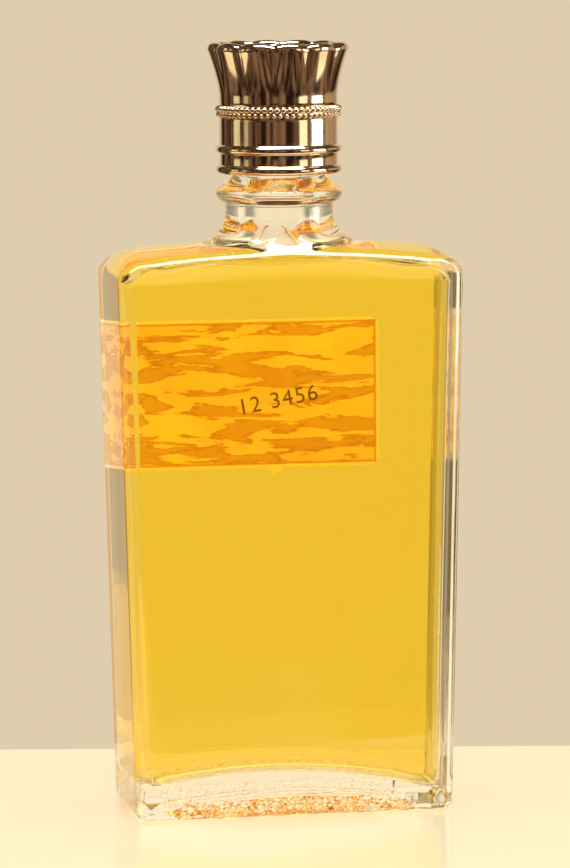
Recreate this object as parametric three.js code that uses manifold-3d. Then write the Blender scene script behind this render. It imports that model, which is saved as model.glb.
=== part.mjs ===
// Aftershave splash bottle: a thick-walled rectangular glass bottle with a label on one broad face, a plastic
// sprinkler plug pressed into its neck, and a fluted metal screw cap with a threaded insert and a sealing liner.
// Millimetres. +Z is up, the origin is the centre of the base on the table, and the label is on the +Y face.
import * as THREE from 'three';
import { mergeVertices } from 'three/addons/utils/BufferGeometryUtils.js';
import Module from 'manifold-3d';

// Glass body, outside
const BODY_WIDTH_TOP = 68;
const BODY_WIDTH_BASE = 62.8;
const BODY_DEPTH = 28.8;
const SHOULDER_HEIGHT = 110;
const CORNER_RADIUS = 2.6;
const HEEL_RADIUS = 2;
const SHOULDER_DROP = 5.4;
const SHOULDER_END_RADIUS = 6;
const SHOULDER_FACE_RADIUS = 3.6;
const CROWN_RISE = 1.6;
const CROWN_FALL = 1.1;
const BASE_RIM_WIDTH = 2.4;
const BASE_PUSH_UP = 0.8;
const BASE_ARCH = 2.4;
const BASE_PUSH_UP_SLOPE = 2;

// Glass body, inside
const FACE_WALL = 3.4;
const END_WALL = 2.5;
const SHOULDER_WALL = 2.9;
const CAVITY_CORNER_RADIUS = 2;
const CAVITY_FACE_RADIUS = 2.6;
const CAVITY_END_RADIUS = 3.1;
const FLOOR_EDGE_HEIGHT = 4.8;
const FLOOR_ARCH = 3.4;
const FLOOR_FILLET = 2.6;
const LIQUID_BELOW_SHOULDER = 2.1;
const LIQUID_GAP = 0.05;

// Neck and its threaded finish
const NECK_RADIUS = 10.5;
const NECK_FILLET = 2.6;
const NECK_ROOT_SPREAD = 4.4;
const COLLAR_RADIUS = 12.3;
const COLLAR_ABOVE_SHOULDER = 8.6;
const COLLAR_BEAD_HEIGHT = 2.8;
const COLLAR_BEAD_ROUND = 0.7;
const COLLAR_CONE_HEIGHT = 2.8;
const FINISH_RADIUS = 8.6;
const FINISH_HEIGHT = 12.3;
const FINISH_LIP_RADIUS = 0.5;
const BORE_RADIUS = 5.25;
const BORE_FLARE_HEIGHT = 4.5;
const BORE_FLARE_SPREAD = 2.4;

// Screw thread of the neck and of the cap insert
const THREAD_PITCH = 3.175;
const THREAD_TURNS = 1.5;
const THREAD_DEPTH = 1.1;
const THREAD_ROOT_WIDTH = 1.9;
const THREAD_CREST_WIDTH = 0.8;
const THREAD_TOP_MARGIN = 1.6;
const THREAD_RADIAL_CLEARANCE = 0.3;
const THREAD_SINK = 0.3;
const THREAD_END_HEIGHT = 0.05;

// Sprinkler plug
const PLUG_BORE_CLEARANCE = 0.05;
const PLUG_WALL = 0.9;
const PLUG_DEPTH = 8;
const PLUG_FLANGE_INSET = 0.5;
const PLUG_FLANGE_THICKNESS = 1;
const PLUG_ORIFICE_RADIUS = 1.5;
const PLUG_LEAD_IN = 0.4;
const SEAT_GAP = 0.05;

// Cap
const CAP_COLLAR_GAP = 0.1;
const CAP_HEIGHT = 25.4;
const CAP_METAL = 0.4;
const CAP_RING_PROUD = 0.75;
const CAP_RING_HEIGHT = 1.7;
const CAP_RING_SPACING = 3.9;
const CAP_BAND_PROUD = 0.5;
const CAP_BAND_HEIGHT = 2.1;
const CAP_BAND_ABOVE_BASE = 11;
const CAP_WALL_ABOVE_BAND = 2.6;
const CAP_FLARE_OUT = 1.9;
const CAP_FLARE_POWER = 1.2;
const CAP_RIM_LIP = 1.1;
const CAP_TOP_RECESS = 0.7;
const FLUTE_COUNT = 12;
const FLUTE_DEPTH = 0.45;
const INSERT_WALL = 1.1;
const INSERT_SHELL_CLEARANCE = 0.1;
const INSERT_BASE_INSET = 0.6;
const INSERT_TOP_THICKNESS = 1;
const INSERT_TOP_CHAMFER = 0.6;
const LINER_THICKNESS = 1;
const LINER_CLEARANCE = 0.2;

// Label on the +Y face
const LABEL_RIGHT = 20.9;
const LABEL_EDGE_MARGIN = 0.4;
const LABEL_BOTTOM = 66;
const LABEL_HEIGHT = 29;
const LABEL_THICKNESS = 0.15;
const LABEL_GLUE_GAP = 0.03;
const LABEL_CORNER_RADIUS = 2;
const LABEL_POINT_WIDTH = 3.2;
const LABEL_POINT_DEPTH = 1.4;

// Facets
const CORNER_STEPS = 9;
const ARC_STEPS = 5;
const ROUND_SEGMENTS = 36;
const FLARE_STEPS = 6;
const STEPS_PER_FLUTE = 6;
const THREAD_STEPS_PER_TURN = 24;

// Heights and radii worked out from the sizes above
const halfBodyDepth = BODY_DEPTH / 2;
const crownTop = SHOULDER_HEIGHT + CROWN_RISE;
const crownSpan = BODY_WIDTH_TOP / 2 - SHOULDER_END_RADIUS;
const crownDepthSpan = halfBodyDepth - SHOULDER_FACE_RADIUS;
const cavityRoof = SHOULDER_HEIGHT - SHOULDER_WALL;
const liquidLevel = SHOULDER_HEIGHT - LIQUID_BELOW_SHOULDER;
const collarBase = SHOULDER_HEIGHT + COLLAR_ABOVE_SHOULDER;
const collarBeadTop = collarBase + COLLAR_BEAD_HEIGHT;
const finishBase = collarBeadTop + COLLAR_CONE_HEIGHT;
const finishTop = finishBase + FINISH_HEIGHT;
const threadMiddle = finishTop - THREAD_TOP_MARGIN - (THREAD_ROOT_WIDTH + THREAD_TURNS * THREAD_PITCH) / 2;
const plugSeat = finishTop + SEAT_GAP;
const plugTop = plugSeat + PLUG_FLANGE_THICKNESS;
const plugBottom = plugTop - PLUG_DEPTH;
const linerBase = plugTop + SEAT_GAP;
const linerTop = linerBase + LINER_THICKNESS;
const insertRoof = linerTop + SEAT_GAP;
const insertTop = insertRoof + INSERT_TOP_THICKNESS;
const insertBoreRadius = FINISH_RADIUS + THREAD_DEPTH + THREAD_RADIAL_CLEARANCE;
const insertOuterRadius = insertBoreRadius + INSERT_WALL;
const capWallRadius = insertOuterRadius + INSERT_SHELL_CLEARANCE + CAP_METAL;
const capBase = finishBase + CAP_COLLAR_GAP;
const capTop = capBase + CAP_HEIGHT;
const bandBase = capBase + CAP_BAND_ABOVE_BASE;
const bandTop = bandBase + CAP_BAND_HEIGHT;
const flareBase = bandTop + CAP_WALL_ABOVE_BAND;
const rimRadius = capWallRadius + CAP_FLARE_OUT;

const wasm = await Module();
wasm.setup();

function material(color, roughness, metalness, opacity = 1) {
  return new THREE.MeshStandardMaterial({ color, roughness, metalness, opacity, transparent: opacity < 1 });
}

function bodyHalfWidth(z) {
  return (BODY_WIDTH_BASE + (BODY_WIDTH_TOP - BODY_WIDTH_BASE) * z / SHOULDER_HEIGHT) / 2;
}

// Point i of a rounded rectangle whose flats touch halfWidth and halfDepth
function sectionPoint({ halfWidth, halfDepth, radius }, i) {
  const stepAngle = Math.PI / 2 / CORNER_STEPS;
  const angle = (i + 0.5) * stepAngle;
  const round = radius / Math.cos(stepAngle / 2);
  const x = Math.cos(angle);
  const y = Math.sin(angle);
  return new THREE.Vector2(
    Math.sign(x) * (halfWidth - radius) + round * x,
    Math.sign(y) * (halfDepth - radius) + round * y,
  );
}

// A closed body through a list of rounded-rectangle sections; the first and last close on the axis.
// A section's arch lifts its middle above its two ends, its fall drops its front and back edges, and nothing
// rises above the ceiling.
function loft(sections, ceiling = Infinity) {
  const last = sections.length - 1;
  const profile = sections.map(({ halfWidth, z }, j) => new THREE.Vector2(j % last ? halfWidth : 0, z));
  const segments = 4 * CORNER_STEPS;
  const geometry = new THREE.LatheGeometry(profile, segments);
  const position = geometry.attributes.position;
  for (let segment = 0; segment <= segments; segment += 1) {
    sections.forEach((section, j) => {
      const point = j % last ? sectionPoint(section, segment % segments) : new THREE.Vector2();
      const along = Math.min(1, Math.abs(point.x) / crownSpan);
      const across = Math.min(1, Math.abs(point.y) / crownDepthSpan);
      const z = section.z + (section.arch ?? 0) * (1 - along ** 2) - (section.fall ?? 0) * across ** 2;
      position.setXYZ(segment * sections.length + j, point.x, point.y, Math.min(z, ceiling));
    });
  }
  return geometry;
}

// Sections round a quarter of an edge: inward goes from 0 to 1 across it, and up from 0 to 1 along it
function edgeSections(make) {
  return Array.from({ length: ARC_STEPS + 1 }, (_, k) => {
    const angle = Math.PI / 2 * k / ARC_STEPS;
    return make(1 - Math.cos(angle), Math.sin(angle));
  });
}

function circle(radius, z, arch = 0) {
  return { halfWidth: radius, halfDepth: radius, radius, z, arch };
}

function rectangle(halfWidth, halfDepth, radius, z, arch = 0, fall = 0) {
  return { halfWidth, halfDepth, radius, z, arch, fall };
}

// The cavity's surface from the middle of its floor to the top of its flare, drawn in by a gap
function cavitySections(gap) {
  const halfDepth = halfBodyDepth - FACE_WALL - gap;
  const radius = CAVITY_CORNER_RADIUS - gap;
  const floor = FLOOR_EDGE_HEIGHT + gap;
  const roof = cavityRoof - gap;
  const roofDrop = CAVITY_END_RADIUS;
  const halfWidth = (z) => bodyHalfWidth(z) - END_WALL - gap;
  const floorWidth = halfWidth(floor) - FLOOR_FILLET;
  const floorDepth = halfDepth - FLOOR_FILLET;
  const roofWidth = halfWidth(roof) - CAVITY_END_RADIUS;
  const roofDepth = halfDepth - CAVITY_FACE_RADIUS;
  const flareRadius = BORE_RADIUS + BORE_FLARE_SPREAD - gap;
  const innerFloors = [0.35, 0.75].map((share) => rectangle(
    floorWidth * share, floorDepth * share, radius * share, floor, FLOOR_ARCH,
  ));
  const floorEdge = edgeSections((inward, up) => rectangle(
    halfWidth(floor) - FLOOR_FILLET * inward, halfDepth - FLOOR_FILLET * inward, radius,
    floor + FLOOR_FILLET * (1 - up), FLOOR_ARCH * up,
  )).reverse();
  const roofEdge = edgeSections((inward, up) => rectangle(
    halfWidth(roof) - CAVITY_END_RADIUS * inward, halfDepth - CAVITY_FACE_RADIUS * inward, radius,
    roof - roofDrop * (1 - up), CROWN_RISE * up, CROWN_FALL * up,
  ));
  return [
    circle(0, floor, FLOOR_ARCH),
    ...innerFloors,
    ...floorEdge,
    ...roofEdge,
    rectangle((roofWidth + flareRadius) / 2, roofDepth - 0.5, radius + 2, roof, CROWN_RISE, CROWN_FALL),
    circle(flareRadius, roof + 0.3, CROWN_RISE),
    circle(flareRadius - BORE_FLARE_SPREAD * 0.6, roof + BORE_FLARE_HEIGHT * 0.6, CROWN_RISE),
    circle(BORE_RADIUS - gap, roof + BORE_FLARE_HEIGHT, CROWN_RISE),
  ];
}

// The outside from the middle of the base to the inner edge of the lip
function outsideSections() {
  const rimWidth = bodyHalfWidth(0) - HEEL_RADIUS - BASE_RIM_WIDTH;
  const rimDepth = halfBodyDepth - HEEL_RADIUS - BASE_RIM_WIDTH;
  const rimCorner = CORNER_RADIUS - HEEL_RADIUS;
  const shoulderStart = SHOULDER_HEIGHT - SHOULDER_DROP;
  const heel = edgeSections((inward, up) => rectangle(
    bodyHalfWidth(HEEL_RADIUS) - HEEL_RADIUS * inward, halfBodyDepth - HEEL_RADIUS * inward,
    CORNER_RADIUS - HEEL_RADIUS * inward, HEEL_RADIUS * (1 - up),
  )).reverse();
  const shoulder = edgeSections((inward, up) => rectangle(
    bodyHalfWidth(shoulderStart) - SHOULDER_END_RADIUS * inward,
    halfBodyDepth - SHOULDER_FACE_RADIUS * inward,
    CORNER_RADIUS, shoulderStart + SHOULDER_DROP * up, CROWN_RISE * up, CROWN_FALL * up,
  ));
  return [
    circle(0, BASE_PUSH_UP, BASE_ARCH),
    rectangle(
      rimWidth - BASE_PUSH_UP_SLOPE, rimDepth - BASE_PUSH_UP_SLOPE, rimCorner / 2, BASE_PUSH_UP, BASE_ARCH,
    ),
    rectangle(rimWidth, rimDepth, rimCorner, 0),
    ...heel,
    ...shoulder,
    rectangle(NECK_RADIUS + NECK_ROOT_SPREAD, halfBodyDepth - SHOULDER_FACE_RADIUS, NECK_RADIUS,
      SHOULDER_HEIGHT, CROWN_RISE, CROWN_FALL),
    circle(NECK_RADIUS + NECK_FILLET * 0.3, crownTop + NECK_FILLET * 0.5),
    circle(NECK_RADIUS + NECK_FILLET * 0.1, crownTop + NECK_FILLET),
    circle(NECK_RADIUS, crownTop + NECK_FILLET * 1.6),
    circle(NECK_RADIUS, collarBase),
    circle(COLLAR_RADIUS - COLLAR_BEAD_ROUND, collarBase + COLLAR_BEAD_ROUND / 2),
    circle(COLLAR_RADIUS, collarBase + COLLAR_BEAD_HEIGHT / 2),
    circle(COLLAR_RADIUS - COLLAR_BEAD_ROUND / 4, collarBeadTop - COLLAR_BEAD_ROUND / 2),
    circle(COLLAR_RADIUS - COLLAR_BEAD_ROUND, collarBeadTop),
    circle(FINISH_RADIUS, finishBase),
    circle(FINISH_RADIUS, finishTop - FINISH_LIP_RADIUS),
    circle(FINISH_RADIUS - FINISH_LIP_RADIUS, finishTop),
    circle(BORE_RADIUS, finishTop),
  ];
}

function toManifold(geometry) {
  const bare = geometry.clone();
  bare.deleteAttribute('normal');
  bare.deleteAttribute('uv');
  const merged = mergeVertices(bare, 1e-4);
  const corners = merged.index.array;
  const triVerts = [];
  for (let t = 0; t < corners.length; t += 3) {
    const [a, b, c] = corners.slice(t, t + 3);
    if (a !== b && b !== c && c !== a) triVerts.push(a, b, c);
  }
  return new wasm.Manifold(new wasm.Mesh({
    numProp: 3,
    vertProperties: new Float32Array(merged.attributes.position.array),
    triVerts: new Uint32Array(triVerts),
  }));
}

function fromManifold(solid) {
  const mesh = solid.getMesh();
  const geometry = new THREE.BufferGeometry();
  geometry.setAttribute('position', new THREE.BufferAttribute(new Float32Array(mesh.vertProperties), 3));
  geometry.setIndex(new THREE.BufferAttribute(new Uint32Array(mesh.triVerts), 1));
  geometry.computeVertexNormals();
  return geometry;
}

// A turned piece round the +Z axis, from its [radius, height] outline
function turned(outline, segments = ROUND_SEGMENTS) {
  const geometry = new THREE.LatheGeometry(outline.map(([r, z]) => new THREE.Vector2(r, z)), segments);
  geometry.rotateX(Math.PI / 2);
  return geometry;
}

// One run of thread: a straight bar of its section, wrapped into a helix on a wall of the given radius.
// Direction is 1 for a thread that stands out of the neck and -1 for one that stands into the cap.
function threadRun(wallRadius, direction, middleHeight) {
  const section = new THREE.Shape();
  section.moveTo(-THREAD_SINK, -THREAD_ROOT_WIDTH / 2);
  section.lineTo(THREAD_DEPTH, -THREAD_CREST_WIDTH / 2);
  section.lineTo(THREAD_DEPTH, THREAD_CREST_WIDTH / 2);
  section.lineTo(-THREAD_SINK, THREAD_ROOT_WIDTH / 2);
  section.closePath();
  const steps = Math.round(THREAD_TURNS * THREAD_STEPS_PER_TURN);
  const geometry = new THREE.ExtrudeGeometry(section, { depth: 1, steps, bevelEnabled: false });
  const position = geometry.attributes.position;
  for (let v = 0; v < position.count; v += 1) {
    const along = position.getZ(v);
    const fade = Math.min(1, Math.min(along, 1 - along) * THREAD_STEPS_PER_TURN);
    const standing = THREAD_END_HEIGHT + (1 - THREAD_END_HEIGHT) * fade;
    const out = position.getX(v) * (position.getX(v) > 0 ? standing : 1);
    const turns = (along - 0.5) * THREAD_TURNS;
    const radius = wallRadius + direction * out;
    const height = middleHeight + position.getY(v) + turns * THREAD_PITCH;
    const angle = turns * 2 * Math.PI;
    position.setXYZ(v, radius * Math.cos(angle), radius * Math.sin(angle), height);
  }
  return direction > 0 ? turnedInsideOut(geometry) : geometry;
}

// Swaps two corners of every face, so that the faces point the other way
function turnedInsideOut(geometry) {
  const position = geometry.attributes.position;
  for (let v = 0; v < position.count; v += 3) {
    const second = new THREE.Vector3().fromBufferAttribute(position, v + 1);
    const third = new THREE.Vector3().fromBufferAttribute(position, v + 2);
    position.setXYZ(v + 1, ...third);
    position.setXYZ(v + 2, ...second);
  }
  return geometry;
}

function withThread(body, thread) {
  return fromManifold(toManifold(body).add(toManifold(thread)));
}

// Bottle: the outside and the cavity are one closed surface that turns over at the lip
function bottleGlass() {
  const blank = loft([...outsideSections(), ...cavitySections(0).reverse()]);
  return withThread(blank, threadRun(FINISH_RADIUS, 1, threadMiddle));
}

// Liquid: the cavity's shape drawn in by the gap, levelled off and kept clear of the glass
function aftershaveLiquid() {
  const sections = [...cavitySections(LIQUID_GAP).slice(0, -1), circle(0, liquidLevel)];
  const drawnIn = toManifold(loft(sections, liquidLevel));
  return fromManifold(drawnIn.subtract(toManifold(bottleGlass())));
}

// Sprinkler plug: a flanged cup with one pouring hole in its floor
function sprinklerPlug() {
  const outer = BORE_RADIUS - PLUG_BORE_CLEARANCE;
  const inner = outer - PLUG_WALL;
  const flange = FINISH_RADIUS - FINISH_LIP_RADIUS - PLUG_FLANGE_INSET;
  return turned([
    [PLUG_ORIFICE_RADIUS, plugBottom],
    [outer - PLUG_LEAD_IN, plugBottom],
    [outer, plugBottom + 2 * PLUG_LEAD_IN],
    [outer, plugSeat],
    [flange, plugSeat],
    [flange, plugTop],
    [inner, plugTop],
    [inner, plugBottom + PLUG_WALL],
    [PLUG_ORIFICE_RADIUS, plugBottom + PLUG_WALL],
    [PLUG_ORIFICE_RADIUS, plugBottom],
  ]);
}

// Liner: a disc held under the roof of the insert
function capLiner() {
  const radius = insertBoreRadius - LINER_CLEARANCE;
  return turned([[0, linerBase], [radius, linerBase], [radius, linerTop], [0, linerTop]]);
}

// Insert: a threaded plastic cup inside the metal shell
function capScrewInsert() {
  const base = capBase + INSERT_BASE_INSET;
  const cup = turned([
    [insertBoreRadius, base],
    [insertOuterRadius, base],
    [insertOuterRadius, insertTop - INSERT_TOP_CHAMFER],
    [insertOuterRadius - INSERT_TOP_CHAMFER, insertTop],
    [0, insertTop],
    [0, insertRoof],
    [insertBoreRadius, insertRoof],
    [insertBoreRadius, base],
  ]);
  return withThread(cup, threadRun(insertBoreRadius, -1, threadMiddle - THREAD_PITCH / 2));
}

// Share of the way up the flare, from 0 where it leaves the wall to 1 at the rim
function flareShare(z) {
  return THREE.MathUtils.clamp((z - flareBase) / (capTop - flareBase), 0, 1);
}

function flareRadius(z) {
  return capWallRadius + CAP_FLARE_OUT * flareShare(z) ** CAP_FLARE_POWER;
}

// A rolled ring round the wall, as five points of its outline
function ringOutline(base) {
  const ring = [[0, 0], [0.12, 0.7], [0.5, 1], [0.88, 0.7], [1, 0]];
  return ring.map(([up, out]) => [capWallRadius + CAP_RING_PROUD * out, base + CAP_RING_HEIGHT * up]);
}

// Shell: drawn metal with two rolled rings, a raised band for the beading, and a flare fluted into lobes
function capShell() {
  const recessedTop = capTop - CAP_TOP_RECESS;
  const underTop = recessedTop - CAP_METAL;
  const lipBase = capTop - CAP_RIM_LIP;
  const stations = Array.from({ length: FLARE_STEPS }, (_, k) => (
    flareBase + (lipBase - flareBase) * k / (FLARE_STEPS - 1)
  ));
  const geometry = turned([
    ...ringOutline(capBase),
    ...ringOutline(capBase + CAP_RING_SPACING),
    [capWallRadius, bandBase],
    [capWallRadius + CAP_BAND_PROUD, bandBase + CAP_BAND_HEIGHT * 0.2],
    [capWallRadius + CAP_BAND_PROUD, bandTop - CAP_BAND_HEIGHT * 0.2],
    [capWallRadius, bandTop],
    ...stations.map((z) => [flareRadius(z), z]),
    [rimRadius, capTop - CAP_RIM_LIP / 2],
    [rimRadius - CAP_METAL / 2, capTop - CAP_RIM_LIP / 9],
    [rimRadius - CAP_METAL, capTop],
    [rimRadius - 2 * CAP_METAL, recessedTop],
    [0, recessedTop],
    [0, underTop],
    ...stations.toReversed().map((z) => [flareRadius(z) - CAP_METAL, Math.min(z, underTop)]),
    [capWallRadius - CAP_METAL, capBase],
    [capWallRadius, capBase],
  ], FLUTE_COUNT * STEPS_PER_FLUTE);
  const position = geometry.attributes.position;
  for (let v = 0; v < position.count; v += 1) {
    const [x, y, z] = [position.getX(v), position.getY(v), position.getZ(v)];
    const radius = Math.hypot(x, y);
    const reach = Math.min(1, radius / capWallRadius);
    const lobe = FLUTE_DEPTH * flareShare(z) * reach * Math.cos(FLUTE_COUNT * Math.atan2(y, x));
    const scale = radius > 0 ? 1 + lobe / radius : 1;
    position.setXYZ(v, x * scale, y * scale, z);
  }
  return geometry;
}

// Label: a thin sheet with round corners at one end and a point at the middle of its lower edge
function frontLabel() {
  const left = LABEL_EDGE_MARGIN + CORNER_RADIUS - bodyHalfWidth(LABEL_BOTTOM);
  const top = LABEL_BOTTOM + LABEL_HEIGHT;
  const cornerX = LABEL_RIGHT - LABEL_CORNER_RADIUS;
  const outline = new THREE.Shape();
  outline.moveTo(left, LABEL_BOTTOM);
  outline.lineTo(-LABEL_POINT_WIDTH / 2, LABEL_BOTTOM);
  outline.lineTo(0, LABEL_BOTTOM - LABEL_POINT_DEPTH);
  outline.lineTo(LABEL_POINT_WIDTH / 2, LABEL_BOTTOM);
  outline.lineTo(cornerX, LABEL_BOTTOM);
  outline.absarc(cornerX, LABEL_BOTTOM + LABEL_CORNER_RADIUS, LABEL_CORNER_RADIUS, -Math.PI / 2, 0);
  outline.absarc(cornerX, top - LABEL_CORNER_RADIUS, LABEL_CORNER_RADIUS, 0, Math.PI / 2);
  outline.lineTo(left, top);
  outline.closePath();
  return new THREE.ExtrudeGeometry(outline, {
    depth: LABEL_THICKNESS, bevelEnabled: false, curveSegments: ARC_STEPS,
  });
}

const bottle = new THREE.Group();

function addPiece(name, geometry, pieceMaterial) {
  const mesh = new THREE.Mesh(geometry, pieceMaterial);
  mesh.name = name;
  bottle.add(mesh);
  return mesh;
}

addPiece('bottle_glass', bottleGlass(), material(0xf2efe2, 0.05, 0, 0.35));
addPiece('aftershave_liquid', aftershaveLiquid(), material(0xe6b93a, 0.05, 0, 0.6));
addPiece('sprinkler_plug', sprinklerPlug(), material(0xf0efe8, 0.4, 0));
addPiece('cap_liner', capLiner(), material(0xece8dc, 0.7, 0));
addPiece('cap_screw_insert', capScrewInsert(), material(0x1c1b1a, 0.5, 0));
addPiece('cap_shell', capShell(), material(0xd8bd8c, 0.15, 1));

const label = addPiece('front_label', frontLabel(), material(0xe9c98a, 0.5, 0));
label.rotation.x = Math.PI / 2;
label.position.y = halfBodyDepth + LABEL_GLUE_GAP + LABEL_THICKNESS;

export default bottle;
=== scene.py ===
import math

import bmesh
import bpy
from mathutils import Matrix, Vector, noise


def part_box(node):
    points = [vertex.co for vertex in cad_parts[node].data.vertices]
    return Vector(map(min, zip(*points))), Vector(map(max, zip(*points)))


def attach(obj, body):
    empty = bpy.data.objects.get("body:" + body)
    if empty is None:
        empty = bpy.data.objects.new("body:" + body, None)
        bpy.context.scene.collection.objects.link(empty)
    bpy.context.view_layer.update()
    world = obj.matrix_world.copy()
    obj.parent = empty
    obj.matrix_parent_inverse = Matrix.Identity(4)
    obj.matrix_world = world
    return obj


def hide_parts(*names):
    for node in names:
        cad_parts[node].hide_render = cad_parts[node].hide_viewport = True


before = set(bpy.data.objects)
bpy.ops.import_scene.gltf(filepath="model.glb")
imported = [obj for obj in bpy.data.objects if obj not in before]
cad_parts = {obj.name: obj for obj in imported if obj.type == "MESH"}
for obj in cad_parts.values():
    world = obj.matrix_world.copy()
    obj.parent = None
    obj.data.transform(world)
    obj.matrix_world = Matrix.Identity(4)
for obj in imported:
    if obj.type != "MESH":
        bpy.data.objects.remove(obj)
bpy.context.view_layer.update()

scene = bpy.context.scene
MM = 0.001


# Camera: a long lens about 0.94 m off, a little above the cap and to the left of the bottle's broad face.
# It looks slightly down, so that one narrow side and the top of the shoulder just show.
view_azimuth = math.radians(-11.0)
view_pitch = math.radians(6.32)
view_roll = math.radians(0.4)
view_distance = 941.2 * MM
view_target = Vector((0.83, -0.16, 73.2)) * MM
camera_back = Vector((
    math.sin(view_azimuth) * math.cos(view_pitch),
    -math.cos(view_azimuth) * math.cos(view_pitch),
    math.sin(view_pitch),
))
level_right = Vector((math.cos(view_azimuth), math.sin(view_azimuth), 0))
level_up = camera_back.cross(level_right)
camera_right = level_right * math.cos(view_roll) - level_up * math.sin(view_roll)
camera_up = level_right * math.sin(view_roll) + level_up * math.cos(view_roll)
camera_turn = Matrix((camera_right, camera_up, camera_back)).transposed().to_4x4()
camera_data = bpy.data.cameras.new("camera")
camera_data.lens = 199.7
camera_data.clip_end = 10
camera = bpy.data.objects.new("camera", camera_data)
camera.matrix_world = Matrix.Translation(view_target + camera_back * view_distance) @ camera_turn
scene.collection.objects.link(camera)
scene.camera = camera
view_forward = Vector((-math.sin(view_azimuth), math.cos(view_azimuth), 0))


# Plinth: a wooden slab with softened edges, its top painted cream in several coats and rubbed down to a satin
# that mirrors the glass faintly. Its far edge is close behind the bottle.
def linear(hex_colour, alpha=1.0):
    """Linear RGBA of an sRGB hex colour."""
    channels = [int(hex_colour[i:i + 2], 16) / 255 for i in (1, 3, 5)]
    return tuple(c / 12.92 if c <= 0.04045 else ((c + 0.055) / 1.055) ** 2.4 for c in channels) + (alpha,)


def add_node(tree, kind, settings=None, **inputs):
    """Adds a node with its settings; each input is a plain value or another node's output socket."""
    node = tree.nodes.new(kind)
    for name, value in (settings or {}).items():
        setattr(node, name, value)
    for name, value in inputs.items():
        key = int(name[1:]) if name[0] == "i" and name[1:].isdigit() else name.replace("_", " ")
        if isinstance(value, bpy.types.NodeSocket):
            tree.links.new(value, node.inputs[key])
        else:
            node.inputs[key].default_value = value
    return node


def new_material(name):
    """An empty node material, with its tree and its output node."""
    material = bpy.data.materials.new(name)
    material.use_nodes = True
    tree = material.node_tree
    tree.nodes.clear()
    return material, tree, tree.nodes.new("ShaderNodeOutputMaterial")


def select_only(piece):
    """Leaves one object selected and active, so that operators act on nothing else."""
    if bpy.context.object and bpy.context.object.mode != "OBJECT":
        bpy.ops.object.mode_set(mode="OBJECT")
    bpy.ops.object.select_all(action="DESELECT")
    piece.select_set(True)
    bpy.context.view_layer.objects.active = piece


def apply_place(piece):
    """Moves an object's place into its mesh, so that it sits unturned and unscaled at the origin."""
    select_only(piece)
    bpy.ops.object.transform_apply(location=True, rotation=True, scale=True)


COLOUR_MIX = {"data_type": "RGBA"}
PLINTH_BEHIND = 64.5 * MM
PLINTH_IN_FRONT = 90 * MM
PLINTH_WIDTH = 700 * MM
PLINTH_THICKNESS = 40 * MM
PLINTH_EDGE = 2 * MM
PAINT_MOTTLE = 111.1
plinth_depth = PLINTH_BEHIND + PLINTH_IN_FRONT
plinth_middle = view_forward * (PLINTH_BEHIND - plinth_depth / 2)
plinth_middle.z = -PLINTH_THICKNESS / 2
bpy.ops.object.select_all(action="DESELECT")
bpy.ops.mesh.primitive_cube_add(size=1, location=plinth_middle, rotation=(0, 0, view_azimuth))
plinth = bpy.context.object
plinth.name = "plinth"
plinth.scale = (PLINTH_WIDTH, plinth_depth, PLINTH_THICKNESS)
apply_place(plinth)
soft_edge = plinth.modifiers.new("soft_edge", "BEVEL")
soft_edge.width = PLINTH_EDGE
soft_edge.segments = 4
bpy.ops.object.modifier_apply(modifier=soft_edge.name)

# Satin alkyd paint, brushed and rubbed: a broad pale sheen with a blurred mirror image at a low angle.
plinth_paint, tree, output = new_material("satin_cream_paint")
place = add_node(tree, "ShaderNodeTexCoord").outputs["Object"]
mottle = add_node(tree, "ShaderNodeTexNoise", Vector=place, Scale=1000 / PAINT_MOTTLE, Detail=3.0)
tint = add_node(tree, "ShaderNodeMix", COLOUR_MIX, i0=mottle.outputs["Fac"], i6=linear("#F3E7CB"),
                i7=linear("#F6EBD2"))
paint = add_node(tree, "ShaderNodeBsdfPrincipled", Base_Color=tint.outputs[2], Roughness=0.16, IOR=1.45)
tree.links.new(paint.outputs[0], output.inputs[0])
plinth.data.materials.append(plinth_paint)


# Studio: a pale beige surround, three tall window-like lamps on the right, two on the left, a glow overhead
# and a lamp each for the plinth and the label. Metal mirrors a dim brown room instead of the surround, and
# glass bends a surround of its own into view, which is dark at the sides and in front and bright above.
SURROUND = linear("#DFCDAE")
SEEN_BEHIND = (1.04, 0.86, 0.60, 1)
SEEN_BESIDE = (0.36, 0.29, 0.2, 1)
SEEN_IN_FRONT = (0.30, 0.18, 0.03, 1)
SEEN_ABOVE = (1.7, 1.5, 0.6, 1)
SEEN_BELOW = (0.96, 0.82, 0.58, 1)
SMOOTH = {"interpolation_type": "SMOOTHSTEP"}
world = bpy.data.worlds.new("studio")
scene.world = world
world.use_nodes = True
tree = world.node_tree
tree.nodes.clear()
direction = add_node(tree, "ShaderNodeTexCoord").outputs["Generated"]
ahead = add_node(tree, "ShaderNodeVectorMath", {"operation": "DOT_PRODUCT"}, i0=direction,
                 i1=tuple(view_forward)).outputs["Value"]
height = add_node(tree, "ShaderNodeSeparateXYZ", Vector=direction).outputs["Z"]
clutter_place = add_node(tree, "ShaderNodeMapping", Vector=direction, Scale=(4.5, 4.5, 1.2))
clutter = add_node(tree, "ShaderNodeTexNoise", Vector=clutter_place.outputs[0], Scale=1.5, Detail=2.0)
room = add_node(tree, "ShaderNodeValToRGB", Fac=clutter.outputs["Fac"])
room.color_ramp.elements[0].position = 0.42
room.color_ramp.elements[0].color = linear("#221009")
room.color_ramp.elements[1].position = 0.70
room.color_ramp.elements[1].color = linear("#97755C")
behind_share = add_node(tree, "ShaderNodeMapRange", SMOOTH, Value=ahead, From_Min=0.75, From_Max=0.92)
mirrored = add_node(tree, "ShaderNodeMix", COLOUR_MIX, i0=behind_share.outputs[0], i6=room.outputs["Color"],
                    i7=SURROUND)
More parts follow.
